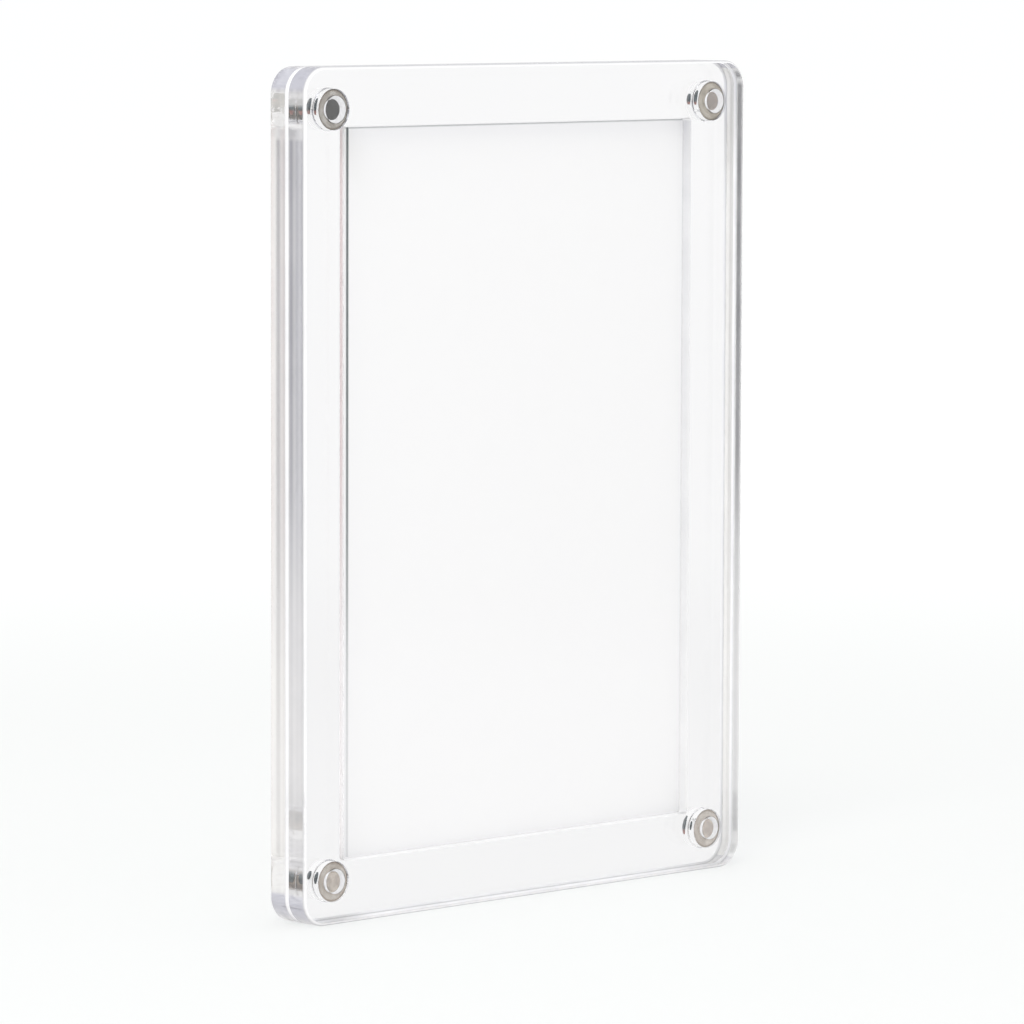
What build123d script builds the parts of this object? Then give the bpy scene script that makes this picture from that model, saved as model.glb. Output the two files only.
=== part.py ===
from build123d import *
import os

# A free-standing photo frame of two clear plates that magnets hold together face to face.
# Millimetres. The width runs along X, the height along Z, and the front looks along -Y.
# The origin is on the standing edge, midway along it and midway between the two plates.

# The print that the frame shows
photo_width = 101.6
photo_height = 152.4
photo_thickness = 0.3
photo_corner_radius = 0.4

# The pocket that the print lies in, milled into the rear plate
pocket_play = 0.25
pocket_depth = 2.6
pocket_corner_radius = 0.75

# The two clear plates
side_margin = 13.8
end_margin = 12.4
plate_thickness = 5.4
plate_corner_radius = 5.8
plate_chamfer = 0.5

# The thin film of air that stays between the plates, because no two sheets are perfectly flat
seam_gap = 0.04

# The magnets, four in each plate
magnet_diameter = 8.4
magnet_thickness = 3.0
magnet_chamfer = 0.15
magnet_side_inset = 9.2
magnet_end_inset = 8.8
magnet_recess = 0.05

# The blind bores that the magnets are glued into
bore_play = 0.1
bore_mouth_chamfer = 0.2

# The drop of clear adhesive between each magnet and the end of its bore
drop_thickness = 0.3
drop_bore_radius = 3.05
drop_magnet_radius = 2.1
drop_waist_shares = (0.35, 0.35)

# One overrun for every cut
overrun = 1.0

# Sizes that follow from the ones above
pocket_width = photo_width + 2 * pocket_play
pocket_height = photo_height + 2 * pocket_play
plate_width = pocket_width + 2 * side_margin
plate_height = pocket_height + 2 * end_margin
bore_radius = magnet_diameter / 2 + bore_play
bore_depth = magnet_recess + magnet_thickness + drop_thickness

# Each plate's own frame lies on its mating face, with its Z pointing out of the plate
mating_plane = {
    "front": Plane(origin=(0, -seam_gap / 2, plate_height / 2), x_dir=(-1, 0, 0), z_dir=(0, 1, 0)),
    "rear": Plane(origin=(0, seam_gap / 2, plate_height / 2), x_dir=(1, 0, 0), z_dir=(0, -1, 0)),
}

# Corners as the viewer in front of the frame names them: X and Z directions from the middle
corner_sides = {
    "top_left": (-1, 1),
    "top_right": (1, 1),
    "bottom_left": (-1, -1),
    "bottom_right": (1, -1),
}


def magnet_places(side):
    """Centre of each magnet in the plate's own frame, by corner name."""
    towards_right = mating_plane[side].x_dir.X
    across = plate_width / 2 - magnet_side_inset
    along = plate_height / 2 - magnet_end_inset
    return {
        corner: (towards_right * x_side * across, z_side * along)
        for corner, (x_side, z_side) in corner_sides.items()
    }


def plate_blank():
    """Rounded plate below the mating plane, with a small polished chamfer round both faces."""
    outline = RectangleRounded(plate_width, plate_height, plate_corner_radius)
    blank = extrude(outline, -plate_thickness)
    rims = blank.faces().filter_by(Axis.Z).edges()
    return chamfer(rims, plate_chamfer)


def magnet_bore():
    """Flat-bottomed bore with a deburred mouth, as a solid to cut with."""
    half_profile = Polyline(
        (0, -bore_depth),
        (bore_radius, -bore_depth),
        (bore_radius, -bore_mouth_chamfer),
        (bore_radius + bore_mouth_chamfer, 0),
        (bore_radius + bore_mouth_chamfer, overrun),
        (0, overrun),
        close=True,
    )
    return revolve(Plane.XZ * make_face(half_profile), Axis.Z)


def photo_pocket():
    """Rounded rectangular pocket, as a solid to cut with."""
    outline = RectangleRounded(pocket_width, pocket_height, pocket_corner_radius)
    return Pos(0, 0, -pocket_depth) * extrude(outline, pocket_depth + overrun)


def plate(side):
    """One clear plate with its four magnet bores, and the pocket if it is the rear one."""
    body = plate_blank()
    for x, y in magnet_places(side).values():
        body -= Pos(x, y, 0) * magnet_bore()
    if side == "rear":
        body -= photo_pocket()
    return mating_plane[side] * body


def magnet():
    """Disc magnet with chamfered edges, lying just below the mating plane."""
    disc = extrude(Circle(magnet_diameter / 2), -magnet_thickness)
    rims = disc.edges().filter_by(GeomType.CIRCLE)
    return Pos(0, 0, -magnet_recess) * chamfer(rims, magnet_chamfer)


def adhesive_drop():
    """Clear drop that wets the end of the bore and the face of the magnet, with a drawn-in flank."""
    out_share, up_share = drop_waist_shares
    on_bore = -bore_depth
    on_magnet = on_bore + drop_thickness
    waist_radius = drop_magnet_radius + out_share * (drop_bore_radius - drop_magnet_radius)
    half_profile = Polyline(
        (0, on_bore),
        (drop_bore_radius, on_bore),
        (waist_radius, on_bore + up_share * drop_thickness),
        (drop_magnet_radius, on_magnet),
        (0, on_magnet),
        close=True,
    )
    return revolve(Plane.XZ * make_face(half_profile), Axis.Z)


def photo_insert():
    """Blank card the size of the print, flat on the floor of the pocket."""
    outline = RectangleRounded(photo_width, photo_height, photo_corner_radius)
    card = extrude(outline, photo_thickness)
    return mating_plane["rear"] * Pos(0, 0, -pocket_depth) * card


def build_nodes():
    """Every piece of the frame by name."""
    nodes = {"photo_insert": photo_insert()}
    for side in mating_plane:
        nodes[f"{side}_panel"] = plate(side)
        for corner, (x, y) in magnet_places(side).items():
            seat = mating_plane[side] * Pos(x, y, 0)
            nodes[f"{side}_magnet_{corner}"] = seat * magnet()
            nodes[f"{side}_adhesive_{corner}"] = seat * adhesive_drop()
    return nodes


os.makedirs("parts", exist_ok=True)
for name, solid in build_nodes().items():
    export_step(solid, f"parts/{name}.step")
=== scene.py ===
from math import cos, pi, radians, sin, tan

import bmesh
import bpy
from mathutils import Matrix, Vector


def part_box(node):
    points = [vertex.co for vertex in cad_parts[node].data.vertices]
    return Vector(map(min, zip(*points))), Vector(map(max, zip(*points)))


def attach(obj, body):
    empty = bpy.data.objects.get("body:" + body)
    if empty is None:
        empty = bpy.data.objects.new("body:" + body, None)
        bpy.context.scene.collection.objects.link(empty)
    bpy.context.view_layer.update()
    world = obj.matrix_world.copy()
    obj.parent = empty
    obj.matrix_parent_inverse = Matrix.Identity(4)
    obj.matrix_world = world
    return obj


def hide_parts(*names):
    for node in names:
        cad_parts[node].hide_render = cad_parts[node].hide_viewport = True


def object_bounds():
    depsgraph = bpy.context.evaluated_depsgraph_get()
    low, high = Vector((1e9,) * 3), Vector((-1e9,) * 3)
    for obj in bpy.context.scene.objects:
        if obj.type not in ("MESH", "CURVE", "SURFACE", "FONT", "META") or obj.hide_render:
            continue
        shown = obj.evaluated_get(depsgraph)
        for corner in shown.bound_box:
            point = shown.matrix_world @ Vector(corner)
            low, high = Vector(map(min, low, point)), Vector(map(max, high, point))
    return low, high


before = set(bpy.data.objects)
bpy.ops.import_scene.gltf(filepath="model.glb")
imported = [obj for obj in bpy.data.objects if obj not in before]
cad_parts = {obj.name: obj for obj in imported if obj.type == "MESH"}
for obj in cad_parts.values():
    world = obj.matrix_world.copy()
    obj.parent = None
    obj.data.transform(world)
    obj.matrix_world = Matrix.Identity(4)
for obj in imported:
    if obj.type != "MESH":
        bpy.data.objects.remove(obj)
cad_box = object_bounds()

MM = 0.001
# Half the frame's depth, from the middle of the seam to an outer face
PLATE_REACH = cad_box[1].y
FRAME_HEIGHT = cad_box[1].z
CORNERS = ("top_left", "top_right", "bottom_left", "bottom_right")
# Along Y, from a plate's mating face towards its outer face
OUTWARD = {"front": -1.0, "rear": 1.0}

# Where the photograph was taken from, fitted to the frame's edges
IMAGE_WIDTH = 1024
SENSOR_WIDTH = 36.0
CAMERA_PLACE = Vector((-885.68, -917.13, 202.91)) * MM
CAMERA_FOCAL_PX = 5998.7
CAMERA_YAW = radians(43.988)
CAMERA_PITCH = radians(-5.412)
CAMERA_ROLL = radians(0.188)

# Sizes of the plates that their boxes don't give
PLATE_CORNER_RADIUS = 5.8 * MM
PLATE_CHAMFER = 0.5 * MM
CHAMFER_EDGE_RADIUS = 0.12 * MM
POCKET_PLAY = 0.25 * MM
POCKET_CORNER_RADIUS = 0.75 * MM
POCKET_RIM_RADIUS = 0.06 * MM
POCKET_FLOOR_RADIUS = 0.1 * MM
BORE_PLAY = 0.1 * MM
BORE_MOUTH = 0.2 * MM
BORE_END_RADIUS = 0.08 * MM
MAGNET_EDGE_RADIUS = 0.15 * MM
CARD_CORNER_RADIUS = 0.4 * MM
CARD_EDGE_RADIUS = 0.05 * MM
# Each corner's magnet, in painted tones of reflection and shade that differ from corner to corner: its
# plating, the painted shade of its rim, and the plating under the adhesive, near black at the top left as
# painted shade
PAINTED_PLATINGS = {
    "top_left": ((0.60, 0.575, 0.535, 1.0), (0.15, 0.11, 0.07, 1.0), (0.012, 0.011, 0.009, 1.0)),
    "top_right": ((0.62, 0.575, 0.50, 1.0), (0.23, 0.19, 0.14, 1.0), (0.45, 0.39, 0.35, 1.0)),
    "bottom_left": ((0.60, 0.56, 0.51, 1.0), (0.28, 0.22, 0.17, 1.0), (0.60, 0.53, 0.46, 1.0)),
    "bottom_right": ((0.70, 0.65, 0.60, 1.0), (0.33, 0.28, 0.23, 1.0), (0.65, 0.57, 0.51, 1.0)),
}
# How the plating goes from the painted shade at its rim to its own tone, with a slightly darker ring about
# halfway out, by share of the magnet's radius
PLATING_SHADE_BY_RADIUS = [
    (0.0, 1.0), (0.5, 0.8), (0.62, 0.75), (0.72, 1.0), (0.85, 0.95), (0.92, 0.5), (0.96, 0.1), (1.0, 0.0)]
# How much darker the plating is where what lies in the drop mottles it
MOTTLE_SHADE = 0.74
# Each corner's drop: how far it lies to the right and its radius, first on the end of the bore and
# then on the magnet
DROPS = {
    "top_left": ((0.6 * MM, 2.9 * MM), (-0.45 * MM, 2.15 * MM)),
    "top_right": ((1.1 * MM, 2.7 * MM), (0.0 * MM, 2.0 * MM)),
    "bottom_left": ((0.65 * MM, 2.65 * MM), (-0.3 * MM, 2.25 * MM)),
    "bottom_right": ((1.0 * MM, 2.55 * MM), (-0.05 * MM, 2.1 * MM)),
}
# Smears of adhesive on the wall of each bore: angles in degrees, and depths from the mating face
SMEARS = {
    "front": {
        "top_left": ((147, 194), (0.6 * MM, 2.2 * MM)),
        "top_right": ((147, 190), (0.6 * MM, 2.6 * MM)),
        "bottom_left": ((148, 181), (0.7 * MM, 2.6 * MM)),
        "bottom_right": ((154, 180), (0.8 * MM, 2.0 * MM)),
    },
    "rear": {
        "top_left": ((147, 193), (1.0 * MM, 3.3 * MM)),
        "top_right": ((158, 190), (1.0 * MM, 3.3 * MM)),
        "bottom_left": ((148, 172), (1.2 * MM, 3.3 * MM)),
        "bottom_right": ((140, 196), (1.5 * MM, 3.3 * MM)),
    },
}
SMEAR_THICKNESS = 0.03 * MM
SMEAR_OFF_WALL = 0.01 * MM
# How much of a smear's half round its ends leave out, and how far its edges are drawn in
SMEAR_BLUNTNESS = 0.06
SMEAR_DRAWN_IN = 0.9
# The painted shadow line along the card's left edge, where the pocket's wall would shade it: where it
# begins, is full, thins and ends
PAINTED_SHADOW_LEFT = (2.2 * MM, 2.5 * MM, 2.85 * MM, 3.15 * MM)
# How that line grows with the height up the card
PAINTED_SHADOW_RISE = [(0.0, 0.2), (0.15, 0.25), (0.5, 0.85), (1.0, 1.0)]
# The same painted shadow along its top edge: where it thins and ends, and how strong it is
PAINTED_SHADOW_TOP = (0.15 * MM, 0.5 * MM)
PAINTED_SHADOW_TOP_STRENGTH = 0.48
# A film of air, so that no two faces lie in each other
AIR_FILM = 0.015 * MM
CARD_LIFT = 3 * AIR_FILM

# The studio's two duller sides: level directions from the frame, and how bright they look there
FRONT_RIGHT = Vector((0.69, -0.72, 0.0))
BACK_LEFT = Vector((-0.69, 0.72, 0.0))
FRONT_RIGHT_TONE = 0.86
BACK_LEFT_TONE = 0.84
# How closely a direction has to follow a duller side's, as cosines: where it begins and is full
DULL_SIDE_REACH = (0.85, 0.96)
# The light that the studio sheds on things, beside the lamp
WORLD_LIGHT = 0.95
# The floor's own white where it is looked at, near the frame and far from it, and how far each is
FLOOR_GLOW = 0.565
FAR_FLOOR_GLOW = 0.665
GLOW_REACH = (0.25, 0.9)
# The floor's tone where it is mirrored: near the frame, and in the dip on the front right side
MIRRORED_NEAR_TONE = 0.94
MIRRORED_NEAR_REACH = (0.3, 0.8)
MIRRORED_DIP_TONE = 0.8
MIRRORED_DIP_NEAR = (0.15, 0.65)
MIRRORED_DIP_FAR = (0.8, 4.0)
FLOOR_HALF_WIDTH = 20.0
# The one lamp: a soft light from the upper left, aimed at the middle of the frame
KEY_PLACE = (-1.1, -0.7, 1.5)
KEY_AIM = (0.0, 0.0, 0.09)
KEY_SIZE = 0.9
KEY_POWER = 12.0

# The haze of the side faces, tinted with painted reflection and shade in bands. The bands are curves of
# (share of the plate's thickness from the mating face, strength). The other curves are of (share of the
# frame's height, strength).
# Left edge of the front plate: three dark bands of painted shade and the gaps between them
FRONT_LEFT_SHADE_BANDS = [
    (0.0, 0.1), (0.12, 0.2), (0.25, 0.72), (0.43, 0.35), (0.6, 0.65), (0.72, 0.5), (0.85, 0.75), (1.0, 0.5)]
# Right edge of the front plate: one broad dark band of painted shade
FRONT_RIGHT_SHADE_BANDS = [(0.0, 0.05), (0.12, 0.1), (0.35, 1.0), (0.5, 1.0), (0.85, 0.1), (1.0, 0.05)]
# Left edge of the rear plate: a dull band of painted shade at the seam and one dark band of painted shade
# in the middle
REAR_LEFT_SHADE_BANDS = [(0.0, 0.5), (0.15, 0.6), (0.3, 0.45), (0.47, 1.0), (0.7, 0.25), (1.0, 0.2)]
# Right edge of the rear plate: two faint bands of painted shade near the seam
REAR_RIGHT_SHADE_BANDS = [(0.0, 0.4), (0.1, 0.6), (0.3, 0.35), (0.42, 0.5), (0.6, 0.05), (1.0, 0.0)]
# How the stain and the painted shade bands grow with the height, and how the bands change beside the
# magnets and round the corners
STAIN_RISE = [(0.0, 0.2), (0.3, 0.3), (0.6, 1.0), (1.0, 0.95)]
FRONT_LEFT_RISE = [
    (0.0, 0.2), (0.036, 0.2), (0.042, 0.1), (0.078, 0.1), (0.083, 0.2), (0.3, 0.3), (0.6, 1.0),
    (0.914, 0.95), (0.921, 0.12), (0.969, 0.12), (0.974, 0.9), (1.0, 0.9)]
REAR_LEFT_RISE = [
    (0.0, 0.5), (0.036, 0.5), (0.042, 0.12), (0.078, 0.12), (0.083, 0.5), (0.2, 0.55), (0.6, 1.0),
    (0.914, 1.0), (0.921, 0.12), (0.969, 0.12), (0.974, 0.9), (1.0, 0.9)]
# The front plate's right edge also has painted light and dark arcs of reflection round its two corners
FRONT_RIGHT_RISE = [
    (0.0, 0.1), (0.006, 0.2), (0.0095, 0.2), (0.0115, 0.05), (0.0145, 0.35), (0.022, 0.35),
    (0.026, 0.1), (0.04, 0.15), (0.046, 0.5), (0.08, 0.5), (0.1, 0.25), (0.3, 0.3), (0.6, 1.0),
    (0.9716, 1.0), (0.9736, 0.1), (0.9757, 0.1), (0.979, 1.0), (0.984, 1.0), (0.987, 0.1),
    (0.9905, 0.05), (0.993, 0.7), (0.997, 0.7), (1.0, 0.2)]
REAR_RIGHT_RISE = [(0.0, 0.5), (0.2, 0.55), (0.6, 1.0), (1.0, 0.95)]
# Painted lilac reflection on the left edges round their corners
CORNER_PAINTED_LILAC = [
    (0.0, 0.0), (0.006, 0.3), (0.015, 0.8), (0.034, 1.0), (0.04, 0.0), (0.9, 0.0), (0.97, 0.0),
    (0.976, 1.0), (0.992, 1.0), (1.0, 0.4)]
# The left edges are clearer beside the magnets, so that these show through
FRONT_CLEARED = [
    (0.0, 1.0), (0.034, 1.0), (0.04, 0.75), (0.043, 0.75), (0.046, 0.15), (0.06, 0.15), (0.064, 0.75),
    (0.078, 0.8), (0.083, 1.0), (0.915, 1.0), (0.921, 0.75), (0.934, 0.7), (0.938, 0.15),
    (0.953, 0.15), (0.957, 0.75), (0.969, 0.8), (0.974, 1.0), (1.0, 1.0)]
REAR_CLEARED = [
    (0.0, 1.0), (0.034, 1.0), (0.04, 0.7), (0.078, 0.7), (0.083, 1.0), (0.915, 1.0), (0.921, 0.7),
    (0.969, 0.7), (0.974, 1.0), (1.0, 1.0)]
# Each edge's tints: the haze between the bands, the painted shade in them, and the painted reflection round
# the corners of the left edges
FRONT_TINTS = ((0.76, 0.75, 0.745, 1.0), (0.27, 0.27, 0.31, 1.0), (0.52, 0.52, 0.58, 1.0))
FRONT_RIGHT_TINTS = ((0.80, 0.80, 0.80, 1.0), (0.07, 0.07, 0.085, 1.0))
REAR_TINTS = ((0.92, 0.91, 0.88, 1.0), (0.42, 0.41, 0.41, 1.0), (0.52, 0.52, 0.58, 1.0))
# The reddish stain on the pocket's left wall, strongest a third of the way in
STAIN_STREAKS = [(0.0, 0.05), (0.1, 0.15), (0.35, 1.0), (0.5, 0.5), (1.0, 0.5)]
STAIN_TINTS = ((0.99, 0.98, 0.98, 1.0), (0.66, 0.44, 0.44, 1.0))
# The chamfers: painted shade towards the side face, clear towards the plate's own faces, a faint
# painted shadow line at the foot and painted shade along the top
CHAMFER_SHADE_BANDS = [
    (0.0, 0.05), (0.04, 0.02), (0.08, 0.25), (0.12, 0.5), (0.88, 0.8), (0.925, 0.5), (0.952, 0.2),
    (0.98, 0.02), (1.0, 0.02)]
CHAMFER_PAINTED_ENDS = [
    (0.0, 0.15), (0.0008, 0.12), (0.0016, 0.0), (0.9955, 0.0), (0.9975, 0.16), (1.0, 0.2)]
CHAMFER_TINTS = ((0.94, 0.94, 0.95, 1.0), (0.45, 0.45, 0.46, 1.0), (0.45, 0.45, 0.46, 1.0))
ALL_THE_WAY_UP = [(0.0, 1.0), (1.0, 1.0)]

ACRYLIC_IOR = 1.49
SHARP_ANGLE = radians(40)

# How finely the round shapes are cut
CORNER_STEPS = 32
EDGE_STEPS = 4
ROUND_STEPS = 120
DROP_STEPS = 12
SMEAR_STEPS = 24

# The order of a plate's materials
FACE, LEFT_EDGE, BORE, WALL, STAIN, CHAMFER, RIGHT_EDGE, BOTTOM = range(8)


def add_camera():
    """The photograph's camera: level right and up axes turned by yaw, pitch and roll."""
    level = Vector((sin(CAMERA_YAW), cos(CAMERA_YAW), 0.0))
    side = Vector((cos(CAMERA_YAW), -sin(CAMERA_YAW), 0.0))
    forward = level * cos(CAMERA_PITCH) + Vector((0.0, 0.0, sin(CAMERA_PITCH)))
    upward = Vector((0.0, 0.0, cos(CAMERA_PITCH))) - level * sin(CAMERA_PITCH)
    right = side * cos(CAMERA_ROLL) + upward * sin(CAMERA_ROLL)
    up = upward * cos(CAMERA_ROLL) - side * sin(CAMERA_ROLL)
    data = bpy.data.cameras.new("camera")
    data.sensor_width = SENSOR_WIDTH
    data.lens = CAMERA_FOCAL_PX * SENSOR_WIDTH / IMAGE_WIDTH
    data.clip_start = 0.01
    data.clip_end = 50.0
    camera = bpy.data.objects.new("camera", data)
    bpy.context.scene.collection.objects.link(camera)
    turn = Matrix((right, up, -forward)).transposed()
    camera.matrix_world = Matrix.Translation(CAMERA_PLACE) @ turn.to_4x4()
    bpy.context.scene.camera = camera


class Tree:
    """A node tree and short ways to add to it."""

    def __init__(self, owner, output):
        owner.use_nodes = True
        self.tree = owner.node_tree
        self.tree.nodes.clear()
        self.output = self.tree.nodes.new(output)

    def add(self, kind, **sockets):
        """A node, with its inputs set to values or linked to other nodes' outputs by their names."""
        node = self.tree.nodes.new(kind)
        for name, value in sockets.items():
            self.feed(node, name.replace("_", " "), value)
        return node

    def feed(self, node, name, value):
        socket = node.inputs[name]
        if isinstance(value, bpy.types.NodeSocket):
            self.tree.links.new(value, socket)
        else:
            socket.default_value = value

    def math(self, operation, first, second=None):
        node = self.tree.nodes.new("ShaderNodeMath")
        node.operation = operation
        for index, value in enumerate((first, second)):
            if isinstance(value, bpy.types.NodeSocket):
                self.tree.links.new(value, node.inputs[index])
            elif value is not None:
                node.inputs[index].default_value = value
        return node.outputs[0]

    def spread(self, value, low, high, to_low, to_high):
        """The value mapped smoothly from one range to another."""
        node = self.tree.nodes.new("ShaderNodeMapRange")
        node.interpolation_type = "SMOOTHSTEP"
        self.tree.links.new(value, node.inputs["Value"])
        limits = {"From Min": low, "From Max": high, "To Min": to_low, "To Max": to_high}
        for name, number in limits.items():
            node.inputs[name].default_value = number
        return node.outputs["Result"]

    def curve(self, value, points):
        """The value read off a smooth curve through (from, to) points between 0 and 1."""
        node = self.tree.nodes.new("ShaderNodeFloatCurve")
        self.tree.links.new(value, node.inputs["Value"])
        line = node.mapping.curves[0]
        while len(line.points) < len(points):
            line.points.new(0.5, 0.5)
        for point, place in zip(line.points, points):
            point.location = place
            point.handle_type = "AUTO_CLAMPED"
        node.mapping.update()
        return node.outputs["Value"]

    def blend(self, factor, first, second):
        """A colour between two others."""
        node = self.tree.nodes.new("ShaderNodeMix")
        node.data_type = "RGBA"
        for socket, value in ((node.inputs[0], factor), (node.inputs[6], first), (node.inputs[7], second)):
            if isinstance(value, bpy.types.NodeSocket):
                self.tree.links.new(value, socket)
            else:
                socket.default_value = value
        return node.outputs[2]

    def mix_shaders(self, factor, first, second):
        node = self.tree.nodes.new("ShaderNodeMixShader")
        for index, value in enumerate((factor, first, second)):
            if isinstance(value, bpy.types.NodeSocket):
                self.tree.links.new(value, node.inputs[index])
            else:
                node.inputs[index].default_value = value
        return node.outputs[0]

    def show(self, shader, socket="Surface"):
        self.tree.links.new(shader, self.output.inputs[socket])


def new_material(name):
    material = bpy.data.materials.new(name)
    return material, Tree(material, "ShaderNodeOutputMaterial")


def grey(value):
    return (value, value, value, 1.0)


def lamps_pass(tree, shader, tint):
    """Lets the lamps' light through a clear shader straight, so that it lights what is behind."""
    path = tree.add("ShaderNodeLightPath")
    straight = tree.math("MAXIMUM", path.outputs["Is Shadow Ray"], path.outputs["Is Diffuse Ray"])
    film = tree.add("ShaderNodeBsdfTransparent", Color=tint)
    return tree.mix_shaders(straight, shader, film.outputs[0])


def acrylic_material(
        name, wave_size, wave_height, dullest, haze=0.0, tints=(), stain_and_shade_bands=(), rise=(), ends=(),
        cleared=()):
    """Clear cast acrylic with faint waves, fine marks in its polish, and a haze where it was machined.

    The haze goes from the first tint to the second as the bands say, a list of (share of the plate's
    thickness from the mating face, strength): on the pocket's wall a stain, on the side faces and
    chamfers painted reflection and shade. The other lists are of (share of the frame's height,
    strength): the rise says how the bands grow with the height, the ends where the third tint, more
    painted reflection and shade, takes over, and cleared how much of the haze there is at all.
    """
    material, tree = new_material(name)
    place = tree.add("ShaderNodeTexCoord").outputs["Object"]
    waves = tree.add("ShaderNodeTexNoise", Vector=place, Scale=1.0 / wave_size, Detail=1.0)
    bump = tree.add("ShaderNodeBump", Height=waves.outputs["Fac"], Strength=1.0, Distance=wave_height)
    marks = tree.add("ShaderNodeTexNoise", Vector=place, Scale=90.0, Detail=4.0)
    dull = tree.spread(marks.outputs["Fac"], 0.55, 0.8, 0.0, dullest)
    shader = tree.add("ShaderNodeBsdfPrincipled", Roughness=dull, IOR=ACRYLIC_IOR, Normal=bump.outputs[0])
    shader.inputs["Base Color"].default_value = (0.986, 0.986, 0.988, 1.0)
    shader.inputs["Transmission Weight"].default_value = 1.0
    surface = shader.outputs[0]
    if haze:
        bloom = tree.add("ShaderNodeTexNoise", Vector=place, Scale=60.0, Detail=2.0)
        apart = tree.add("ShaderNodeSeparateXYZ", Vector=place)
        through = tree.math("DIVIDE", tree.math("ABSOLUTE", apart.outputs["Y"]), PLATE_REACH)
        uneven = tree.spread(bloom.outputs["Fac"], 0.25, 0.75, 0.88, 1.12)
        share = tree.math("MULTIPLY", uneven, haze)
        haze_and_painted_shade = tree.add("ShaderNodeBsdfDiffuse", Color=tints[0])
        risen = tree.math("DIVIDE", apart.outputs["Z"], FRAME_HEIGHT)
        if cleared:
            share = tree.math("MULTIPLY", share, tree.curve(risen, cleared))
        # On the side faces and chamfers the bands and the third tint are painted reflection and shade; on
        # the pocket's wall they are a stain.
        if stain_and_shade_bands:
            deep = tree.math("MULTIPLY", tree.curve(through, stain_and_shade_bands), tree.curve(risen, rise))
            colour = tree.blend(deep, *tints[:2])
            if ends:
                colour = tree.blend(tree.curve(risen, ends), colour, tints[2])
            tree.feed(haze_and_painted_shade, "Color", colour)
        surface = tree.mix_shaders(share, surface, haze_and_painted_shade.outputs[0])
    tree.show(lamps_pass(tree, surface, grey(0.99)))
    absorb = tree.add("ShaderNodeVolumeAbsorption", Color=(0.90, 0.905, 0.93, 1.0), Density=3.0)
    tree.show(absorb.outputs[0], "Volume")
    return material


def magnet_share(tree, place, corner):
    """How far out from its magnet's axis a point lies, as a share of the magnet's radius."""
    axis_x, axis_z = magnet_axis("front", corner)
    apart = tree.add("ShaderNodeSeparateXYZ", Vector=place)
    across = tree.math("SUBTRACT", apart.outputs["X"], axis_x)
    along = tree.math("SUBTRACT", apart.outputs["Z"], axis_z)
    squares = tree.math("ADD", tree.math("MULTIPLY", across, across), tree.math("MULTIPLY", along, along))
    return tree.math("DIVIDE", tree.math("SQRT", squares), magnet_radius("front", corner))


def nickel_material(corner):
    """Satin nickel plate with fine marks all ways, and painted shade, darker and browner, towards its rim.
    """
    material, tree = new_material(f"nickel_{corner}")
    place = tree.add("ShaderNodeTexCoord").outputs["Object"]
    plating, rim, _ = PAINTED_PLATINGS[corner]
    blotch = tree.add("ShaderNodeTexNoise", Vector=place, Scale=420.0, Detail=4.0)
    even = tree.spread(blotch.outputs["Fac"], 0.35, 0.65, 0.55, 1.0)
    # Painted shade: the rim's darker, browner tone takes over towards the magnet's edge, with a slightly
    # darker ring about halfway out; the blotches are random tone.
    plating_share = tree.math("MULTIPLY", tree.curve(magnet_share(tree, place, corner), PLATING_SHADE_BY_RADIUS), even)
    colour = tree.blend(plating_share, rim, plating)
    return finish_nickel(material, tree, place, colour)


def wet_nickel_material(corner):
    """The plate under the adhesive: duller, and mottled by what lies in the drop; its tone is painted per
    corner, near black at the top left as painted shade.
    """
    material, tree = new_material(f"nickel_wet_{corner}")
    place = tree.add("ShaderNodeTexCoord").outputs["Object"]
    # The tone under the adhesive is painted per corner: near black at the top left as painted shade, paler
    # elsewhere.
    wet = PAINTED_PLATINGS[corner][2]
    mottle = tree.add("ShaderNodeTexNoise", Vector=place, Scale=1100.0, Detail=3.0)
    dark = tuple(MOTTLE_SHADE * part for part in wet[:3]) + (1.0,)
    colour = tree.blend(tree.spread(mottle.outputs["Fac"], 0.38, 0.62, 0.0, 1.0), dark, wet)
    return finish_nickel(material, tree, place, colour)


def finish_nickel(material, tree, place, colour):
    """The grain, roughness and metal that both kinds of plate share."""
    tone = tree.add("ShaderNodeTexNoise", Vector=place, Scale=700.0, Detail=3.0)
    grain = tree.add("ShaderNodeTexNoise", Vector=place, Scale=9000.0, Detail=2.0)
    bump = tree.add("ShaderNodeBump", Height=grain.outputs["Fac"], Strength=0.25, Distance=0.004 * MM)
    rough = tree.spread(tone.outputs["Fac"], 0.3, 0.7, 0.14, 0.24)
    shader = tree.add("ShaderNodeBsdfPrincipled", Roughness=rough, Normal=bump.outputs[0])
    tree.feed(shader, "Base Color", colour)
    shader.inputs["Metallic"].default_value = 1.0
    tree.show(shader.outputs[0])
    return material


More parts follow.
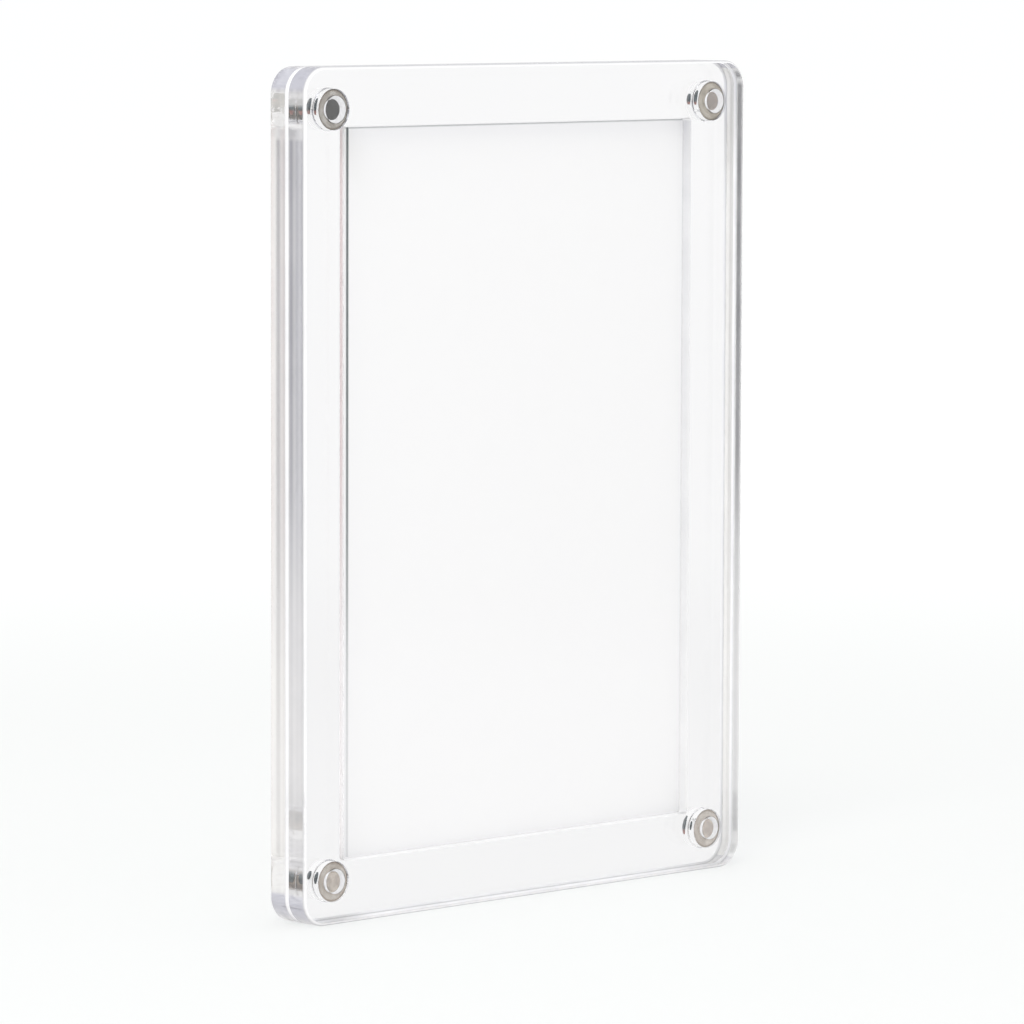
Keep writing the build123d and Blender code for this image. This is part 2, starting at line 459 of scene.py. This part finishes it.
def card_material():
    """Smooth white card with a fine fibre, and painted shadow lines along its left and top edges, where the
    pocket's walls would shade it.
    """
    material, tree = new_material("card")
    place = tree.add("ShaderNodeTexCoord").outputs["Object"]
    fibre = tree.add("ShaderNodeTexNoise", Vector=place, Scale=2500.0, Detail=4.0)
    bump = tree.add("ShaderNodeBump", Height=fibre.outputs["Fac"], Strength=0.3, Distance=0.01 * MM)
    white = tree.blend(tree.spread(fibre.outputs["Fac"], 0.3, 0.7, 0.0, 1.0), grey(0.92), grey(0.935))
    low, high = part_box("photo_insert")
    apart = tree.add("ShaderNodeSeparateXYZ", Vector=place)
    from_left = tree.math("SUBTRACT", apart.outputs["X"], low.x)
    from_top = tree.math("SUBTRACT", high.z, apart.outputs["Z"])
    risen = tree.math("DIVIDE", tree.math("SUBTRACT", apart.outputs["Z"], low.z), high.z - low.z)
    # Painted shadow: a dark line a little in from the left edge that grows with the height, and a dark band
    # along the top edge, where the pocket's walls would shade the card.
    begun = tree.spread(from_left, *PAINTED_SHADOW_LEFT[:2], 0.0, 1.0)
    ended = tree.spread(from_left, *PAINTED_SHADOW_LEFT[2:], 1.0, 0.0)
    line = tree.math("MULTIPLY", begun, ended)
    left = tree.math("MULTIPLY", line, tree.curve(risen, PAINTED_SHADOW_RISE))
    top = tree.spread(from_top, *PAINTED_SHADOW_TOP, PAINTED_SHADOW_TOP_STRENGTH, 0.0)
    colour = tree.blend(tree.math("MAXIMUM", left, top), white, (0.08, 0.10, 0.105, 1.0))
    shader = tree.add("ShaderNodeBsdfPrincipled", Roughness=0.55, Normal=bump.outputs[0])
    tree.feed(shader, "Base Color", colour)
    tree.show(shader.outputs[0])
    return material


def smear_material(corner):
    """Dark cured glue, with painted reflections: teal above and reddish below the magnet's axis."""
    material, tree = new_material(f"glue_smear_{corner}")
    place = tree.add("ShaderNodeTexCoord").outputs["Object"]
    cloud = tree.add("ShaderNodeTexNoise", Vector=place, Scale=1500.0, Detail=3.0)
    apart = tree.add("ShaderNodeSeparateXYZ", Vector=place)
    below = tree.math("SUBTRACT", magnet_axis("front", corner)[1], apart.outputs["Z"])
    cloudy = tree.spread(cloud.outputs["Fac"], 0.35, 0.65, 0.0, 1.0)
    teal = tree.blend(cloudy, (0.012, 0.018, 0.02, 1.0), (0.07, 0.10, 0.115, 1.0))
    # Painted reflection: the dark glue is tinted teal above the magnet's axis and reddish below it.
    colour = tree.blend(tree.spread(below, -0.1 * MM, 0.5 * MM, 0.0, 1.0), teal, (0.30, 0.13, 0.11, 1.0))
    shader = tree.add("ShaderNodeBsdfPrincipled", Roughness=0.35)
    tree.feed(shader, "Base Color", colour)
    tree.show(shader.outputs[0])
    return material


def painted_rim_shade_material():
    """The dark line where a drop of adhesive meets the end of its bore: a painted shade."""
    material, tree = new_material("adhesive_rim_painted_shade")
    place = tree.add("ShaderNodeTexCoord").outputs["Object"]
    cloud = tree.add("ShaderNodeTexNoise", Vector=place, Scale=500.0, Detail=2.0)
    cloudy = tree.spread(cloud.outputs["Fac"], 0.3, 0.7, 0.0, 1.0)
    colour = tree.blend(cloudy, (0.03, 0.03, 0.028, 1.0), (0.30, 0.28, 0.26, 1.0))
    shader = tree.add("ShaderNodeBsdfPrincipled", Roughness=0.3)
    tree.feed(shader, "Base Color", colour)
    tree.show(lamps_pass(tree, shader.outputs[0], grey(0.95)))
    return material


def adhesive_material(name, milk):
    """Clear cured adhesive, milky where it dried thin."""
    material, tree = new_material(name)
    place = tree.add("ShaderNodeTexCoord").outputs["Object"]
    cloud = tree.add("ShaderNodeTexNoise", Vector=place, Scale=1500.0, Detail=2.0)
    bump = tree.add("ShaderNodeBump", Height=cloud.outputs["Fac"], Strength=0.2, Distance=0.02 * MM)
    clear = tree.add("ShaderNodeBsdfPrincipled", Roughness=0.02, IOR=ACRYLIC_IOR, Normal=bump.outputs[0])
    clear.inputs["Transmission Weight"].default_value = 1.0
    tree.feed(clear, "Base Color", (1.0, 1.0, 1.0, 1.0))
    cloudy = tree.add("ShaderNodeBsdfPrincipled", Roughness=0.4, Normal=bump.outputs[0])
    tree.feed(cloudy, "Base Color", (0.95, 0.95, 0.97, 1.0))
    share = tree.spread(cloud.outputs["Fac"], 0.2, 0.8, 0.8 * milk, milk)
    both = tree.mix_shaders(share, clear.outputs[0], cloudy.outputs[0])
    tree.show(lamps_pass(tree, both, grey(0.95)))
    return material


def rounded_rectangle(half_width, half_height, radius, centre_z):
    """Points (x, z) of a rounded rectangle on the frame's middle line."""
    points = []
    for quarter, (side_x, side_z) in enumerate(((1, 1), (-1, 1), (-1, -1), (1, -1))):
        for step in range(CORNER_STEPS + 1):
            angle = pi / 2 * (quarter + step / CORNER_STEPS)
            x = side_x * (half_width - radius) + radius * cos(angle)
            z = side_z * (half_height - radius) + radius * sin(angle)
            points.append((x, centre_z + z))
    return points


def circle(centre, radius):
    """Points (x, z) of a circle."""
    turns = [2 * pi * step / ROUND_STEPS for step in range(ROUND_STEPS)]
    return [(centre[0] + radius * cos(turn), centre[1] + radius * sin(turn)) for turn in turns]


def quarter_round(radius):
    """(inset, depth) pairs of a rounded edge, from the flat face round to the wall."""
    pairs = []
    for step in range(EDGE_STEPS + 1):
        angle = pi / 2 * step / EDGE_STEPS
        pairs.append((radius * (1 - sin(angle)), radius * (1 - cos(angle))))
    return pairs


def soft_chamfer(size, radius):
    """(inset, depth) pairs of a flat chamfer with two slightly rounded edges, from the face to the wall."""
    pairs = []
    for step in range(EDGE_STEPS + 1):
        angle = pi / 4 * step / EDGE_STEPS
        pairs.append((size + radius * (tan(pi / 8) - sin(angle)), radius * (1 - cos(angle))))
    return pairs + [(depth, inset) for inset, depth in reversed(pairs)]


class Shell:
    """A closed surface built ring by ring."""

    def __init__(self):
        self.mesh = bmesh.new()

    def ring(self, points, y):
        return [self.mesh.verts.new((x, y, z)) for x, z in points]

    def wall(self, rings, material=0, smooth=True):
        """Quads between each ring and the next."""
        for first, second in zip(rings, rings[1:]):
            for index in range(len(first)):
                after = (index + 1) % len(first)
                face = self.mesh.faces.new((first[index], first[after], second[after], second[index]))
                face.material_index = material
                face.smooth = smooth

    def lid(self, ring, material=0):
        face = self.mesh.faces.new(ring)
        face.material_index = material

    def holed_lid(self, rings, material=0):
        """A flat face within the first ring and outside the others."""
        edges = []
        for ring in rings:
            for index in range(len(ring)):
                pair = (ring[index], ring[(index + 1) % len(ring)])
                edges.append(self.mesh.edges.get(pair) or self.mesh.edges.new(pair))
        made = bmesh.ops.triangle_fill(self.mesh, use_beauty=True, edges=edges)
        for item in made["geom"]:
            if isinstance(item, bmesh.types.BMFace):
                item.material_index = material

    def piece(self, name, materials, body, slot, *nodes):
        """The surface as an object that stands for the named nodes and moves with the body."""
        bmesh.ops.recalc_face_normals(self.mesh, faces=self.mesh.faces)
        data = bpy.data.meshes.new(name)
        self.mesh.to_mesh(data)
        self.mesh.free()
        for material in materials:
            data.materials.append(material)
        made = bpy.data.objects.new(name, data)
        bpy.context.scene.collection.objects.link(made)
        data.set_sharp_from_angle(angle=SHARP_ANGLE)
        even = made.modifiers.new("even_normals", "WEIGHTED_NORMAL")
        even.keep_sharp = True
        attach(made, body)
        if nodes:
            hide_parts(*nodes)
        return made


def mating_y(side):
    low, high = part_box(f"{side}_panel")
    return high.y if side == "front" else low.y


def bore_end_y(side, corner):
    low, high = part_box(f"{side}_adhesive_{corner}")
    return low.y if side == "front" else high.y


def magnet_axis(side, corner):
    low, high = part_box(f"{side}_magnet_{corner}")
    return ((low.x + high.x) / 2, (low.z + high.z) / 2)


def magnet_radius(side, corner):
    low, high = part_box(f"{side}_magnet_{corner}")
    return (high.x - low.x) / 2


def add_plate(side, materials):
    """One clear plate: chamfered edges, four blind bores, and the pocket if it is the rear one.

    Its materials are in the order that FACE, LEFT_EDGE and the rest give. The top edge has the left
    edge's material.
    """
    low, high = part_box(f"{side}_panel")
    half_width = (high.x - low.x) / 2
    half_height = (high.z - low.z) / 2
    centre_z = (high.z + low.z) / 2
    outward = OUTWARD[side]
    inner_y = mating_y(side)
    thickness = high.y - low.y
    shell = Shell()

    def outline(inset, depth):
        points = rounded_rectangle(
            half_width - inset, half_height - inset, PLATE_CORNER_RADIUS - inset, centre_z)
        return shell.ring(points, inner_y + outward * depth)

    profile = soft_chamfer(PLATE_CHAMFER, CHAMFER_EDGE_RADIUS)
    profile += [(inset, thickness - depth) for inset, depth in reversed(profile)]
    rims = [outline(inset, depth) for inset, depth in profile]
    half = len(rims) // 2
    shell.wall(rims[:half], CHAMFER)
    shell.wall(rims[half - 1:half + 1], LEFT_EDGE)
    shell.wall(rims[half:], CHAMFER)
    shell.lid(rims[-1], FACE)
    for face in shell.mesh.faces:
        if face.material_index != LEFT_EDGE:
            continue
        middle = face.calc_center_median()
        if middle.x > half_width - 0.3 * PLATE_CORNER_RADIUS:
            face.material_index = RIGHT_EDGE
        elif middle.z < 0.02 * PLATE_CORNER_RADIUS:
            face.material_index = BOTTOM

    mouths = []
    for corner in CORNERS:
        centre = magnet_axis(side, corner)
        radius = magnet_radius(side, corner) + BORE_PLAY
        deep = abs(bore_end_y(side, corner) - inner_y)
        stages = [(radius + BORE_MOUTH, 0.0), (radius, BORE_MOUTH)]
        end = reversed(quarter_round(BORE_END_RADIUS))
        stages += [(radius - inset, deep - depth) for inset, depth in end]
        rings = [shell.ring(circle(centre, wide), inner_y + outward * depth) for wide, depth in stages]
        shell.wall(rings, BORE)
        shell.lid(rings[-1], FACE)
        mouths.append(rings[0])

    if side == "rear":
        card_low, card_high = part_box("photo_insert")
        pocket_width = (card_high.x - card_low.x) / 2 + POCKET_PLAY
        pocket_height = (card_high.z - card_low.z) / 2 + POCKET_PLAY
        pocket_depth = card_high.y - inner_y

        def pocket(inset, depth):
            points = rounded_rectangle(
                pocket_width - inset, pocket_height - inset, POCKET_CORNER_RADIUS - inset, centre_z)
            return shell.ring(points, inner_y + depth)

        wall = [(-inset, depth) for inset, depth in quarter_round(POCKET_RIM_RADIUS)]
        floor_round = reversed(quarter_round(POCKET_FLOOR_RADIUS))
        foot = [(inset, pocket_depth - depth) for inset, depth in floor_round]
        rings = [pocket(inset, depth) for inset, depth in wall + foot]
        shell.wall(rings, WALL)
        shell.lid(rings[-1], FACE)
        mouths.append(rings[0])
        stain_end = 2 * POCKET_CORNER_RADIUS - pocket_width
        for face in shell.mesh.faces:
            if face.material_index == WALL and face.calc_center_median().x < stain_end:
                face.material_index = STAIN

    shell.holed_lid([rims[0], *mouths], FACE)
    return shell.piece(f"{side}_plate", materials, side, "clear_acrylic", f"{side}_panel")


def add_magnet(side, corner, nickel, wet):
    """A plated disc with rounded edges, in another tone where the adhesive wets its face."""
    node = f"{side}_magnet_{corner}"
    low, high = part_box(node)
    centre = magnet_axis(side, corner)
    radius = magnet_radius(side, corner)
    front_y, back_y = (low.y, high.y) if side == "front" else (high.y, low.y)
    inward = -OUTWARD[side]
    shell = Shell()
    edge = quarter_round(MAGNET_EDGE_RADIUS)
    profile = [(inset, front_y + inward * depth) for inset, depth in edge]
    profile += [(inset, back_y - inward * depth) for inset, depth in reversed(edge)]
    rings = [shell.ring(circle(centre, radius - inset), y) for inset, y in profile]
    shell.wall(rings)
    shell.lid(rings[-1])
    shift, wide = DROPS[corner][1]
    wetted = shell.ring(circle((centre[0] + shift, centre[1]), wide), front_y)
    shell.lid(wetted, 1)
    shell.holed_lid([rings[0], wetted], 0)
    return shell.piece(f"{side}_disc_{corner}", (nickel, wet), side, "nickel_plate", node)


def add_drop(side, corner, clear, milky, rim):
    """The drop of adhesive between the end of the bore and the magnet, with a drawn-in flank and a painted
    shade line where it meets the bore's end.
    """
    node = f"{side}_adhesive_{corner}"
    low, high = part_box(node)
    axis_x, axis_z = magnet_axis(side, corner)
    bore_y = bore_end_y(side, corner) - OUTWARD[side] * AIR_FILM
    magnet_y = (low.y if side == "rear" else high.y) + OUTWARD[side] * AIR_FILM
    (bore_shift, bore_wide), (magnet_shift, magnet_wide) = DROPS[corner]
    shell = Shell()
    rings = []
    for step in range(DROP_STEPS + 1):
        angle = pi / 2 * step / DROP_STEPS
        drawn = sin(angle)
        sunk = 1 - cos(angle)
        shift = bore_shift + (magnet_shift - bore_shift) * drawn
        wide = bore_wide + (magnet_wide - bore_wide) * drawn
        y = bore_y + (magnet_y - bore_y) * sunk
        rings.append(shell.ring(circle((axis_x + shift, axis_z), wide), y))
    # The first band, where the drop meets the bore's end, carries the painted shade line.
    shell.wall(rings[:2], 2)
    shell.wall(rings[1:], 1)
    shell.lid(rings[0], 0)
    shell.lid(rings[-1], 0)
    return shell.piece(f"{side}_drop_{corner}", (clear, milky, rim), side, "clear_adhesive", node)


def add_smear(side, corner, glue):
    """A thin strip of squeezed-out adhesive on the wall of a bore, wetting the acrylic."""
    axis_x, axis_z = magnet_axis(side, corner)
    inner = magnet_radius(side, corner) + BORE_PLAY + SMEAR_OFF_WALL
    angles, depths = SMEARS[side][corner]
    inner_y = mating_y(side)
    shell = Shell()
    rings = []
    for step in range(SMEAR_STEPS + 1):
        share = step / SMEAR_STEPS
        turn = radians(angles[0] + (angles[1] - angles[0]) * share)
        swell = sin(pi * (SMEAR_BLUNTNESS + (1 - 2 * SMEAR_BLUNTNESS) * share)) ** 0.5
        middle = (depths[0] + depths[1]) / 2
        reach = (depths[1] - depths[0]) / 2 * swell
        ring = []
        for wide, deep in (
                (inner, middle - reach),
                (inner + SMEAR_THICKNESS, middle - SMEAR_DRAWN_IN * reach),
                (inner + SMEAR_THICKNESS, middle + SMEAR_DRAWN_IN * reach),
                (inner, middle + reach)):
            x = axis_x + wide * cos(turn)
            z = axis_z + wide * sin(turn)
            ring.append(shell.mesh.verts.new((x, inner_y + OUTWARD[side] * deep, z)))
        rings.append(ring)
    shell.wall(rings)
    shell.lid(rings[0])
    shell.lid(rings[-1])
    return shell.piece(f"{side}_smear_{corner}", (glue,), side, "clear_adhesive")


def add_card(material):
    """The blank print, just off the floor of its pocket."""
    low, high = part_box("photo_insert")
    half_width = (high.x - low.x) / 2
    half_height = (high.z - low.z) / 2
    centre_z = (high.z + low.z) / 2
    shell = Shell()
    edge = quarter_round(CARD_EDGE_RADIUS)
    profile = [(inset, low.y + depth) for inset, depth in edge]
    profile += [(inset, high.y - depth - CARD_LIFT) for inset, depth in reversed(edge)]
    rings = []
    for inset, y in profile:
        points = rounded_rectangle(
            half_width - inset, half_height - inset, CARD_CORNER_RADIUS - inset, centre_z)
        rings.append(shell.ring(points, y))
    shell.wall(rings)
    shell.lid(rings[0])
    shell.lid(rings[-1])
    return shell.piece("blank_print", (material,), "print", "card", "photo_insert")


def seen_share(tree):
    """1 for rays from the camera, off gloss or through glass, and 0 for the light that falls on things."""
    path = tree.add("ShaderNodeLightPath")
    share = tree.math("MAXIMUM", path.outputs["Is Camera Ray"], path.outputs["Is Glossy Ray"])
    return tree.math("MAXIMUM", share, path.outputs["Is Transmission Ray"])


def lean(tree, way, direction):
    """From 0 to 1 as a direction comes to lie along a duller side's."""
    along = tree.tree.nodes.new("ShaderNodeVectorMath")
    along.operation = "DOT_PRODUCT"
    tree.tree.links.new(way, along.inputs[0])
    along.inputs[1].default_value = direction
    return tree.spread(along.outputs["Value"], *DULL_SIDE_REACH, 0.0, 1.0)


def studio_tones(tree, way):
    """The white studio's tone in a direction, with its two duller sides."""
    tone = tree.blend(lean(tree, way, FRONT_RIGHT), grey(1.0), grey(FRONT_RIGHT_TONE))
    return tree.blend(lean(tree, way, BACK_LEFT), tone, grey(BACK_LEFT_TONE))


def add_world():
    """Even soft light, seen as a white studio with two duller sides that only the plates mirror."""
    world = bpy.data.worlds.new("studio")
    bpy.context.scene.world = world
    tree = Tree(world, "ShaderNodeOutputWorld")
    lit = tree.add("ShaderNodeBackground", Color=grey(1.0), Strength=WORLD_LIGHT)
    way = tree.add("ShaderNodeTexCoord").outputs["Generated"]
    seen = tree.add("ShaderNodeBackground", Color=studio_tones(tree, way), Strength=1.0)
    tree.show(tree.mix_shaders(seen_share(tree), lit.outputs[0], seen.outputs[0]))


def add_floor():
    """A pale floor, seen white, that keeps the frame's soft shadow and is duller where it is mirrored."""
    mesh = bpy.data.meshes.new("floor")
    half = FLOOR_HALF_WIDTH
    corners = [(-half, -half, 0.0), (half, -half, 0.0), (half, half, 0.0), (-half, half, 0.0)]
    mesh.from_pydata(corners, [], [(0, 1, 2, 3)])
    floor = bpy.data.objects.new("floor", mesh)
    bpy.context.scene.collection.objects.link(floor)
    material, tree = new_material("floor")
    place = tree.add("ShaderNodeTexCoord").outputs["Object"]
    speck = tree.add("ShaderNodeTexNoise", Vector=place, Scale=14.0, Detail=3.0)
    paper = tree.blend(speck.outputs["Fac"], (0.87, 0.865, 0.86, 1.0), (0.89, 0.885, 0.885, 1.0))
    base = tree.add("ShaderNodeBsdfDiffuse", Color=paper)
    shade = tree.add("ShaderNodeBsdfDiffuse", Color=(0.35, 0.36, 0.355, 1.0))
    heading = tree.tree.nodes.new("ShaderNodeVectorMath")
    heading.operation = "NORMALIZE"
    tree.tree.links.new(place, heading.inputs[0])
    distance = tree.tree.nodes.new("ShaderNodeVectorMath")
    distance.operation = "LENGTH"
    tree.tree.links.new(place, distance.inputs[0])
    away = distance.outputs["Value"]
    near = tree.spread(away, *MIRRORED_DIP_NEAR, 0.0, 1.0)
    far = tree.spread(away, *MIRRORED_DIP_FAR, 1.0, 0.0)
    towards = lean(tree, heading.outputs[0], FRONT_RIGHT)
    dip = tree.math("MULTIPLY", tree.math("MULTIPLY", near, far), towards)
    distant = tree.spread(away, *MIRRORED_NEAR_REACH, 0.0, 1.0)
    studio = tree.blend(distant, grey(MIRRORED_NEAR_TONE), studio_tones(tree, heading.outputs[0]))
    tone = tree.blend(dip, studio, grey(MIRRORED_DIP_TONE))
    path = tree.add("ShaderNodeLightPath")
    mirrored = tree.math("SUBTRACT", 1.0, path.outputs["Is Camera Ray"])
    white = tree.blend(tree.spread(away, *GLOW_REACH, 0.0, 1.0), grey(FLOOR_GLOW), grey(FAR_FLOOR_GLOW))
    glow = tree.add("ShaderNodeEmission", Color=tree.blend(mirrored, white, tone), Strength=1.0)
    lifted = tree.tree.nodes.new("ShaderNodeAddShader")
    tree.tree.links.new(shade.outputs[0], lifted.inputs[0])
    tree.tree.links.new(glow.outputs[0], lifted.inputs[1])
    looked_at = tree.mix_shaders(mirrored, lifted.outputs[0], glow.outputs[0])
    tree.show(tree.mix_shaders(seen_share(tree), base.outputs[0], looked_at))
    mesh.materials.append(material)


def add_key_lamp():
    data = bpy.data.lights.new("key", "AREA")
    data.shape = "DISK"
    data.size = KEY_SIZE
    data.energy = KEY_POWER
    lamp = bpy.data.objects.new("key", data)
    lamp.location = KEY_PLACE
    lamp.rotation_mode = "QUATERNION"
    aim = Vector(KEY_AIM) - Vector(KEY_PLACE)
    lamp.rotation_quaternion = aim.to_track_quat("-Z", "Y")
    bpy.context.scene.collection.objects.link(lamp)


def edge_material(name, tints, stain_and_shade_bands, rise, ends=(), cleared=()):
    """Acrylic of a side face, with the saw's haze tinted in bands of painted reflection and shade."""
    return acrylic_material(name, 12 * MM, 0.0006 * MM, 0.01, 0.7, tints, stain_and_shade_bands, rise, ends, cleared)


face_acrylic = acrylic_material("acrylic_face", 40 * MM, 0.0005 * MM, 0.0)
# The side faces' haze carries painted reflection and shade: dark bands, light and dark arcs, and lilac
# corners.
edge_acrylics = {
    "front": (
        edge_material(
            "acrylic_edge_front_left", FRONT_TINTS, FRONT_LEFT_SHADE_BANDS, FRONT_LEFT_RISE, CORNER_PAINTED_LILAC,
            FRONT_CLEARED),
        edge_material(
            "acrylic_edge_front_right", FRONT_RIGHT_TINTS, FRONT_RIGHT_SHADE_BANDS, FRONT_RIGHT_RISE)),
    "rear": (
        edge_material(
            "acrylic_edge_rear_left", REAR_TINTS, REAR_LEFT_SHADE_BANDS, REAR_LEFT_RISE, CORNER_PAINTED_LILAC,
            REAR_CLEARED),
        edge_material("acrylic_edge_rear_right", REAR_TINTS, REAR_RIGHT_SHADE_BANDS, REAR_RIGHT_RISE)),
}
bottom_acrylic = acrylic_material("acrylic_bottom", 12 * MM, 0.0006 * MM, 0.01, 0.7, (grey(0.97),))
bore_acrylic = acrylic_material("acrylic_bore", 2 * MM, 0.002 * MM, 0.05)
wall_acrylic = acrylic_material("acrylic_pocket_wall", 3 * MM, 0.001 * MM, 0.1, 0.55, (grey(0.98),))
stained_acrylic = acrylic_material(
    "acrylic_pocket_stain", 3 * MM, 0.001 * MM, 0.1, 0.55, STAIN_TINTS, STAIN_STREAKS, STAIN_RISE)
# The chamfers carry painted shade towards the side faces and along the top, and a painted shadow line at
# the foot.
chamfer_acrylic = acrylic_material(
    "acrylic_chamfer", 3 * MM, 0.001 * MM, 0.1, 0.93, CHAMFER_TINTS, CHAMFER_SHADE_BANDS, ALL_THE_WAY_UP,
    CHAMFER_PAINTED_ENDS)
for side in OUTWARD:
    add_plate(side, (
        face_acrylic, edge_acrylics[side][0], bore_acrylic, wall_acrylic, stained_acrylic, chamfer_acrylic,
        edge_acrylics[side][1], bottom_acrylic))
clear_adhesive = adhesive_material("adhesive_clear", 0.0)
milky_adhesive = adhesive_material("adhesive_milky", 0.9)
painted_rim_shade = painted_rim_shade_material()
for corner in CORNERS:
    nickel = nickel_material(corner)
    wet_nickel = wet_nickel_material(corner)
    glue_smear = smear_material(corner)
    for side in OUTWARD:
        add_magnet(side, corner, nickel, wet_nickel)
        add_drop(side, corner, clear_adhesive, milky_adhesive, painted_rim_shade)
        add_smear(side, corner, glue_smear)
add_card(card_material())

add_camera()
add_world()
add_floor()
add_key_lamp()

scene = bpy.context.scene
scene.view_settings.view_transform = "Standard"
scene.cycles.max_bounces = 48
scene.cycles.glossy_bounces = 48
scene.cycles.transmission_bounces = 48
scene.cycles.transparent_max_bounces = 24
scene.cycles.diffuse_bounces = 3
scene.cycles.caustics_refractive = False
scene.cycles.caustics_reflective = False
